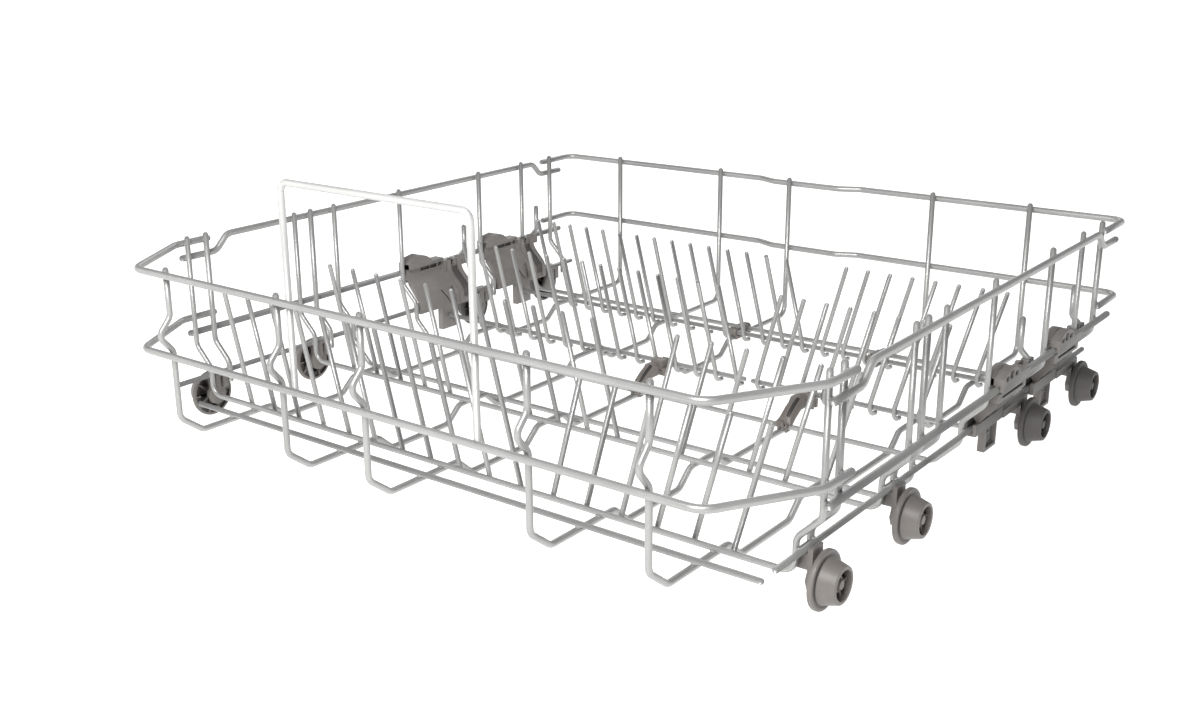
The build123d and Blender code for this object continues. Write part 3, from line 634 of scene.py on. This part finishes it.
def wheelPiece(side, word, number, station):
    y, z = frontY + station, wheels["radius"]
    flangeX = wheels["innerX"] + wheels["flange"]
    shape = bmesh.new()
    webX, endPocket = flangeX + wheels["web"], wheels["hubEnd"] - wheels["wall"]
    recessX = wheels["innerX"] + wheels["recessDeep"]
    rimEdge, fold, soft, fine = (wheels[k] for k in ("rimEdge", "fold", "soft", "fine"))
    profile = roundedProfile([
        (wheels["innerX"], wheels["bore"], fine), (wheels["innerX"], wheels["boss"], soft),
        (flangeX, wheels["boss"], soft), (flangeX, wheels["pocket"], soft),
        (recessX, wheels["pocket"], fine), (recessX, wheels["recess"], fine),
        (wheels["innerX"], wheels["recess"], fine), (wheels["innerX"], wheels["radius"], rimEdge),
        (flangeX, wheels["radius"], wheels["rounding"]), (flangeX, wheels["hub"], rimEdge),
        (wheels["outerX"], wheels["hubEnd"], wheels["tipEdge"]), (wheels["outerX"], endPocket, soft),
        (webX, endPocket, fold), (webX, wheels["boss"], fold),
        (wheels["bossEnd"], wheels["boss"], fold), (wheels["bossEnd"], wheels["bore"], soft),
    ])
    spinProfile(shape, profile, side, y, z)
    slope = (wheels["hub"] - wheels["hubEnd"]) / (wheels["outerX"] - flangeX)
    reach = (wheels["pocket"] + wheels["hub"] - slope * (wheels["bossEnd"] - flangeX)) / 2
    for i in range(2 * wheels["spokes"]):
        turn = Matrix.Rotation(math.pi * i / wheels["spokes"], 3, "X")
        arms = [(wheels["thinSpoke"], wheels["recess"] + fine, recessX + fine)]
        if i % 2:
            arms.append((wheels["thinSpoke"], reach, flangeX))
        else:
            arms.append((wheels["spoke"], reach, wheels["bossEnd"]))
        for thick, outer, end in arms:
            begin, half = wheels["boss"] - fold, thick / 2
            corners = [
                Vector((side * wheels["innerX"], y, z)) + turn @ Vector((0, along, across))
                for along, across in ((begin, -half), (outer, -half), (outer, half), (begin, half))
            ]
            addBlock(shape, corners, (side * (end - wheels["innerX"]), 0, 0))
    node = f"{word}_wheel_{number}"
    finish = "taupe" if number <= wheels["frontCount"] else "rearWheel"
    piece = finishShape(shape, f"{word}Wheel{number}", finish, f"{node}_body", (node,))
    # painted shade: the pockets on both faces are darkened with their depth, where shade falls
    shade = piece.data.attributes.new("paintedShade", "FLOAT", "POINT")
    for vertex, value in zip(piece.data.vertices, shade.data):
        along = abs(vertex.co.x) / mm
        radius = math.hypot(vertex.co.y / mm - y, vertex.co.z / mm - z)
        dark, margin = 0.0, wheels["shadeMargin"]
        if along > flangeX + wheels["web"] / 2 and radius < endPocket + margin:
            dark = (wheels["bossEnd"] - soft - along) / wheels["hubShade"]
        elif along < flangeX + margin and radius < wheels["recess"] + fine / 2:
            dark = (along - wheels["innerX"] - margin) / wheels["recessShade"]
        value.value = min(1.0, max(0.0, dark))


def axlePiece(side, word, number, station):
    y, z = frontY + station, wheels["radius"]
    shoulderX, snapX = wheels["innerX"] - wheels["play"], wheels["bossEnd"] + wheels["play"]
    grow, core = wheels["axleGrow"], wheels["axleCore"]
    rootX, endX = wheels["armX"] - wheels["armGrip"], snapX + wheels["headLong"] + grow
    axle, shoulder, head = (wheels[k] + grow for k in ("axle", "shoulder", "head"))
    shape = bmesh.new()
    profile = roundedProfile([
        (rootX, core, 0), (rootX, shoulder, 0), (shoulderX, shoulder, wheels["soft"]), (shoulderX, axle, 0),
        (snapX, axle, 0), (snapX, head, wheels["fine"]), (endX, axle, wheels["soft"]), (endX, core, 0),
    ])
    spinProfile(shape, profile, side, y, z, wheels["axleTurns"])
    finish = "clip" if number <= wheels["frontCount"] else "rearWheel"
    finishShape(shape, f"{word}StubAxle{number}", finish, "basket")


for side, word in ((-1, "left"), (1, "right")):
    for number, station in enumerate(wheels["stations"], 1):
        wheelPiece(side, word, number, station)
        axlePiece(side, word, number, station)
print("wheels made")


# Mouldings: the solid's own form with its edges broken, cut and trimmed with the small detail
moulding = {"merge": 1e-6, "flat": 1.0, "sharp": 30.0, "bevelFrom": 28.0, "bevelSteps": 2, "holderEdge": 0.35}


def boxCorners(low, high):
    (x0, y0, z0), (x1, y1, z1) = low, high
    return [(x0, y0, z0), (x1, y0, z0), (x1, y1, z0), (x0, y1, z0)], (0, 0, z1 - z0)


def addBox(shape, low, high):
    addBlock(shape, *boxCorners(low, high))


def brokenEdges(maker, edge):
    bevel = maker.modifiers.new("brokenEdges", "BEVEL")
    bevel.width = edge * mm
    bevel.segments = moulding["bevelSteps"]
    bevel.limit_method = "ANGLE"
    bevel.angle_limit = math.radians(moulding["bevelFrom"])
    bevel.harden_normals = False


def makerFrom(shape, name, finish):
    bmesh.ops.recalc_face_normals(shape, faces=shape.faces)
    mesh = bpy.data.meshes.new(name)
    shape.to_mesh(mesh)
    shape.free()
    mesh.materials.clear()
    mesh.materials.append(finishes[finish])
    maker = bpy.data.objects.new(name + "Maker", mesh)
    bpy.context.scene.collection.objects.link(maker)
    return maker


def mouldedPiece(node, name, finish, edge, cuts=()):
    shape = bmesh.new()
    shape.from_mesh(nodes[node].data)
    bmesh.ops.remove_doubles(shape, verts=shape.verts, dist=moulding["merge"])
    if cuts:
        cutShape = bmesh.new()
        for corners, lift in cuts:
            addBlock(cutShape, corners, lift)
        whole = makerFrom(shape, name + "Whole", finish)
        cutter = makerFrom(cutShape, name + "Cuts", finish)
        step = whole.modifiers.new("cuts", "BOOLEAN")
        step.operation, step.solver, step.object = "DIFFERENCE", "EXACT", cutter
        cut = plainMesh(whole, name + "Cut")
        shape = bmesh.new()
        shape.from_mesh(cut.data)
        for spare in (cut, cutter):
            bpy.data.objects.remove(spare)
        bmesh.ops.remove_doubles(shape, verts=shape.verts, dist=moulding["merge"])
    flat = math.radians(moulding["flat"])
    bmesh.ops.dissolve_limit(shape, angle_limit=flat, verts=shape.verts, edges=shape.edges)
    piece = trimPiece(shape, name, finish, edge)
    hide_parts(node)
    return piece


def trimPiece(shape, name, finish, edge):
    maker = makerFrom(shape, name, finish)
    brokenEdges(maker, edge)
    piece = plainMesh(maker, name)
    piece.data.shade_smooth()
    piece.data.set_sharp_from_angle(angle=math.radians(moulding["sharp"]))
    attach(piece, "basket")
    return piece


carriers = {
    "wheels": {"front": 357.0, "rear": 454.2}, "start": 80.0,
    "edge": 0.45, "trimEdge": 0.35, "shadeEdge": 0.1, "recessEdge": 0.05,
    "pockets": ((3.4, 8.2, 70.0), (9.8, 16.4, 72.2), (18.0, 23.6, 70.2)),
    "pocketX": (248.9, 256.0), "pocketZ": 67.0,
    "dome": ((0.0, 5.0), (6.0, 8.5), (16.0, 10.0), (24.0, 7.0), (28.0, 3.0)),
    "domeX": (242.9, 248.6), "domeZ": 64.3,
    "slits": ((26.0, 36.0), (39.5, 41.0)), "slit": 1.3, "slitPlay": 0.02,
    "slitX": (230.5, 237.2), "slitZ": (44.0, 31.6),
    "slitShade": ((232.3, 32.0), (232.3, 38.0), (234.9, 43.6), (236.4, 43.6), (233.7, 38.0), (233.7, 32.0)),
    "grooves": (((244.0, 247.4), (16.0, 27.0), (60.5, 63.5)), ((244.0, 249.0), (37.4, 42.4), (60.5, 63.5))),
    "shades": (((246.8, 247.2), (16.2, 36.4), (60.6, 63.4)), ((244.3, 244.7), (47.0, 53.0), (59.0, 65.0))),
    "outerShade": 0.5, "outerFacing": 0.3,
    "ridges": (43.6, 56.2), "ridge": 3.8, "ridgeRise": 2.2, "ridgeBend": 6.0, "kneeShare": 0.4,
    "ridgeFace": ((242.2, 64.0), (242.2, 55.1), (228.2, 41.1), (228.2, 30.0)),
    "recess": ((241.9, 58.4), (241.9, 55.2), (228.0, 41.3), (228.0, 34.0)), "recessRise": 0.5,
    "ribs": (5.0, 19.0, 33.0), "rib": 1.7,
    "ribFace": (
        (246.8, 57.0), (250.5, 55.0), (250.0, 50.0), (240.0, 37.5), (238.2, 36.4),
        (235.0, 40.0), (235.2, 44.4), (238.1, 49.7), (242.3, 54.1),
    ),
    "socket": ((242.4, 248.0), (60.2, 68.8), (57.2, 65.2)),
}


def paintOuterShade(piece, side):
    # painted shade: the outer faces are darkened as if they lay in the shade of the ledges
    outerShadeMask = piece.data.attributes.new("paintedShade", "FLOAT", "FACE")
    for face, value in zip(piece.data.polygons, outerShadeMask.data):
        outward = face.normal.x * side > carriers["outerFacing"]
        value.value = carriers["outerShade"] if outward else 0.0


def smoothLine(points, steps=4):
    # a line through the points without corners
    ends = [points[0], *points, points[-1]]
    made = []
    for a, b, c, d in zip(ends, ends[1:], ends[2:], ends[3:]):
        for step in range(steps):
            t = step / steps
            made.append(tuple(
                q + 0.5 * t * (r - p + t * (2 * p - 5 * q + 4 * r - s + t * (3 * (q - r) + s - p)))
                for p, q, r, s in zip(a, b, c, d)
            ))
    return made + [points[-1]]


def carrierPiece(side, word, place):
    start = frontY + carriers["wheels"][place] - carriers["start"]

    def box(spanX, spanU, spanZ):
        x = sorted(side * v for v in spanX)
        return (x[0], start + spanU[0], spanZ[0]), (x[1], start + spanU[1], spanZ[1])

    cuts = []
    for first, last, top in carriers["pockets"]:
        cuts.append(boxCorners(*box(carriers["pocketX"], (first, last), (carriers["pocketZ"], top))))
    cuts += [boxCorners(*box(*groove)) for groove in carriers["grooves"]]
    (slitIn, slitOut), wide = carriers["slitX"], carriers["slit"]
    for ends in carriers["slits"]:
        edges = [(u, z) for u, z in zip(ends, carriers["slitZ"])]
        edges += [(u + wide, z) for u, z in reversed(edges)]
        corners = [(side * slitIn, start + u, z) for u, z in edges]
        cuts.append((corners, (side * (slitOut - slitIn), 0, 0)))
    name = f"{word}{place.capitalize()}Carrier"
    piece = mouldedPiece(f"{word}_{place}_carrier", name, "dark", carriers["edge"], cuts)
    paintOuterShade(piece, side)
    trim = bmesh.new()
    rise, bend, share = carriers["ridgeRise"], carriers["ridgeBend"], carriers["kneeShare"]
    face = carriers["ridgeFace"]
    raised = roundedProfile([
        (face[0][0] - rise, face[0][1], 0), (face[1][0] - rise, face[1][1] + share * rise, bend),
        (face[2][0] - rise, face[2][1] + share * rise, bend), (face[3][0] - rise, face[3][1], 0),
    ])
    for u in carriers["ridges"]:
        corners = [(side * x, start + u, z) for x, z in (*face, *reversed(raised))]
        addBlock(trim, corners, (0, carriers["ridge"], 0))
    for u in carriers["ribs"]:
        addBlock(trim, [(side * x, start + u, z) for x, z in carriers["ribFace"]], (0, carriers["rib"], 0))
    addBox(trim, *box(*carriers["socket"]))
    inner, outer = carriers["domeX"]
    outline = [(u, carriers["domeZ"] + lift) for u, lift in smoothLine(carriers["dome"])]
    outline += [(carriers["dome"][-1][0], carriers["domeZ"]), (0.0, carriers["domeZ"])]
    addBlock(trim, [(side * inner, start + u, z) for u, z in outline], (side * (outer - inner), 0, 0))
    paintOuterShade(trimPiece(trim, name + "Trim", "dark", carriers["trimEdge"]), side)

    # painted shade: dark backing put behind the slot, the hole and the slits, where the openings would lie in
    # shade
    shade = bmesh.new()
    for span in carriers["shades"]:
        addBox(shade, *box(*span))
    for top, low in carriers["slits"]:
        (topZ, lowZ), corners = carriers["slitZ"], []
        for x, z in carriers["slitShade"]:
            u = low + (top - low) * (z - lowZ) / (topZ - lowZ)
            corners.append((side * x, start + u + carriers["slitPlay"], z))
        addBlock(shade, corners, (0, carriers["slit"] - 2 * carriers["slitPlay"], 0))
    trimPiece(shade, name + "Slot", "gap", carriers["shadeEdge"])

    # painted shade: a dark sheet on the floor between the two bands of the arch, as the shade beneath the arch
    recess = bmesh.new()
    lift, (first, last) = carriers["recessRise"], carriers["ridges"]
    face, begin = carriers["recess"], first + carriers["ridge"]
    corners = [(side * x, start + begin, z) for x, z in face]
    corners += [(side * (x - lift), start + begin, z + share * lift) for x, z in reversed(face)]
    addBlock(recess, corners, (0, last - begin, 0))
    trimPiece(recess, name + "Recess", "rearWheel", carriers["recessEdge"])


clips = {
    "x": {"left": -13.5, "right": 107.6}, "shift": 2.6, "edge": 0.3, "half": 5.3, "steps": 8, "crown": 0.7,
    "run": ((270.6, 10.0, 12.6), (272.5, 11.0, 16.2), (276.0, 13.0, 19.6), (281.0, 16.0, 23.0),
            (286.5, 19.0, 25.8), (290.5, 20.5, 26.4), (292.8, 21.0, 25.0), (293.6, 21.0, 22.4)),
    "slot": (1, 5), "slotAngles": (56.0, 84.0), "slotProud": 0.12, "slotDeep": 0.8, "slotEdge": 0.05,
    "frontClaws": (
        ((-3.6, -2.2), (268.0, 270.2), (6.0, 12.0)), ((2.2, 3.6), (268.0, 270.2), (6.0, 12.0)),
        ((3.0, 8.0), (296.0, 298.4), (15.5, 21.5)), ((3.0, 8.0), (301.0, 303.4), (15.5, 21.5)),
        ((-4.6, 5.0), (295.4, 304.4), (20.0, 26.6)),
    ),
    "rearClaws": (
        ((0.8, 4.4), (411.0, 413.4), (16.5, 22.6)), ((0.8, 4.4), (417.5, 419.9), (16.5, 22.6)),
        ((-6.0, 0.8), (428.6, 431.0), (15.6, 21.0)),
    ),
}


def clipPiece(word):
    x = clips["x"][word] + clips["shift"]
    for place in ("front", "rear"):
        mouldedPiece(f"{place}_{word}_rod_clip", f"{place}{word.capitalize()}RodClip", "clip", clips["edge"])
    trim = bmesh.new()
    rings = []

    def skin(run, angle, proud=0.0):
        y, base, top = run
        rise = (top - base) * max(0.0, math.sin(angle)) ** clips["crown"]
        across = (clips["half"] + proud) * math.cos(angle)
        return Vector((x + across, frontY + y, base + rise + proud)) * mm

    for run in clips["run"]:
        angles = [math.pi * i / clips["steps"] for i in range(clips["steps"] + 1)]
        rings.append([trim.verts.new(skin(run, angle)) for angle in angles])
    for here, there in zip(rings, rings[1:]):
        for i in range(clips["steps"] + 1):
            j = (i + 1) % (clips["steps"] + 1)
            trim.faces.new((here[i], here[j], there[j], there[i]))
    trim.faces.new(rings[0])
    trim.faces.new(rings[-1][::-1])
    for spanX, spanY, spanZ in (*clips["frontClaws"], *clips["rearClaws"]):
        low, high = ((x + spanX[i], frontY + spanY[i], spanZ[i]) for i in (0, 1))
        addBox(trim, low, high)
    trimPiece(trim, f"{word}RodClipTrim", "clip", clips["edge"])

    # the slot: painted shade, a dark strip let into the housing's skin where the slot's opening lies in shade
    gap = bmesh.new()
    first, last = clips["slot"]
    edges = [math.radians(a) for a in clips["slotAngles"]]
    middle = sum(edges) / 2
    strips = []
    for proud in (clips["slotProud"], -clips["slotDeep"]):
        strips.append([
            [gap.verts.new(skin(run, angle, proud)) for angle in (edges[0], middle, edges[1])]
            for run in clips["run"][first:last]
        ])
    final = len(strips[0]) - 1
    for strip in strips:
        for here, there in zip(strip, strip[1:]):
            for i in (0, 1):
                gap.faces.new((here[i], here[i + 1], there[i + 1], there[i]))
    rimSpots = [(0, 0), (0, 1), (0, 2)] + [(r, 2) for r in range(1, final + 1)]
    rimSpots += [(final, 1), (final, 0)] + [(r, 0) for r in range(final - 1, 0, -1)]
    for (r, c), (s, d) in zip(rimSpots, rimSpots[1:] + rimSpots[:1]):
        gap.faces.new((strips[0][r][c], strips[0][s][d], strips[1][s][d], strips[1][r][c]))
    trimPiece(gap, f"{word}RodClipSlot", "gap", clips["slotEdge"])


for side, word in ((-1, "left"), (1, "right")):
    for number in (1, 2):
        mouldedPiece(
            f"{word}_wheel_holder_{number}", f"{word}WheelHolder{number}", "taupe", moulding["holderEdge"],
        )
    for place in ("front", "rear"):
        carrierPiece(side, word, place)
    clipPiece(word)
print("mouldings made")


# Floor, light and the photograph's camera
studio = {
    "floor": (0.55, 0.55, 0.548), "glow": (0.98, 0.98, 0.975), "floorGlow": 0.93, "floorRough": 0.6,
    "floorRadius": 30.0, "wallHeight": 5.0, "turns": 64, "sky": (0.98, 0.99, 1.0), "skyStrength": 0.28,
    "camera": (532.8, -754.45, 339.7), "azimuth": -38.839, "elevation": 17.607, "roll": -0.872,
    "focal": 1375.7, "centre": (549.4, 352.9), "picture": (1200, 724), "sensor": 36.0, "reach": (0.01, 100.0),
}
lamps = {
    "keyLight": {"spot": (0.30, -0.95, 0.85), "aim": (0, -0.25, 0.1), "size": 0.7, "power": 19.5},
    "topLight": {"spot": (-0.2, 0.1, 2.0), "aim": (0, 0, 0), "size": 1.8, "power": 2.6},
    "leftLight": {"spot": (-1.3, -1.2, 0.8), "aim": (0, -0.1, 0.05), "size": 0.9, "power": 4},
    "rearLight": {"spot": (-0.9, 1.4, 0.9), "aim": (0, 0.1, 0.05), "size": 1.0, "power": 4},
}
floorShape = bmesh.new()
bmesh.ops.create_circle(floorShape, cap_ends=True, segments=studio["turns"], radius=studio["floorRadius"])
floorMesh = bpy.data.meshes.new("studioFloor")
floorShape.to_mesh(floorMesh)
floorShape.free()
wallShape = bmesh.new()
bmesh.ops.create_cone(
    wallShape, segments=studio["turns"], radius1=studio["floorRadius"], radius2=studio["floorRadius"],
    depth=studio["wallHeight"], matrix=Matrix.Translation((0, 0, studio["wallHeight"] / 2)),
)
bmesh.ops.reverse_faces(wallShape, faces=wallShape.faces)
wallMesh = bpy.data.meshes.new("studioWall")
wallShape.to_mesh(wallMesh)
wallShape.free()
floorFinish = Finish("paleFloor")
floorFinish.feed(Base_Color=(*studio["floor"], 1), Roughness=studio["floorRough"])
floorFinish.feed(Emission_Color=(*studio["glow"], 1), Emission_Strength=studio["floorGlow"])
floorMesh.materials.append(floorFinish.material)
wallMesh.materials.append(floorFinish.material)
for name, mesh in (("studioFloor", floorMesh), ("studioWall", wallMesh)):
    stage = bpy.data.objects.new(name, mesh)
    bpy.context.scene.collection.objects.link(stage)

bpy.context.scene.view_settings.view_transform = "Standard"
world = bpy.data.worlds.new("studioSky")
bpy.context.scene.world = world
world.use_nodes = True
sky = world.node_tree.nodes["Background"]
sky.inputs["Color"].default_value = (*studio["sky"], 1)
sky.inputs["Strength"].default_value = studio["skyStrength"]


def softLight(name, spot, aim, size, power):
    light = bpy.data.lights.new(name, "AREA")
    light.shape = "DISK"
    light.size, light.energy = size, power
    lamp = bpy.data.objects.new(name, light)
    lamp.location = spot
    lamp.visible_camera = False
    lamp.rotation_euler = (Vector(aim) - Vector(spot)).to_track_quat("-Z", "Y").to_euler()
    bpy.context.scene.collection.objects.link(lamp)


for name, lamp in lamps.items():
    softLight(name, **lamp)

azimuth, elevation, roll = (math.radians(studio[k]) for k in ("azimuth", "elevation", "roll"))
flat = math.cos(elevation)
ahead = Vector((math.sin(azimuth) * flat, math.cos(azimuth) * flat, -math.sin(elevation)))
level = Vector((math.cos(azimuth), -math.sin(azimuth), 0))
above = level.cross(ahead)
across = math.cos(roll) * level + math.sin(roll) * above
up = -math.sin(roll) * level + math.cos(roll) * above
lens = bpy.data.cameras.new("pictureCamera")
width, height = studio["picture"]
lens.sensor_fit, lens.sensor_width = "HORIZONTAL", studio["sensor"]
lens.lens = studio["focal"] / width * studio["sensor"]
lens.shift_x = (width / 2 - studio["centre"][0]) / width
lens.shift_y = (studio["centre"][1] - height / 2) / width
lens.clip_start, lens.clip_end = studio["reach"]
camera = bpy.data.objects.new("pictureCamera", lens)
turn = Matrix((across, up, -ahead)).transposed().to_4x4()
camera.matrix_world = Matrix.Translation(Vector(studio["camera"]) * mm) @ turn
bpy.context.scene.collection.objects.link(camera)
bpy.context.scene.camera = camera
print("studio made")
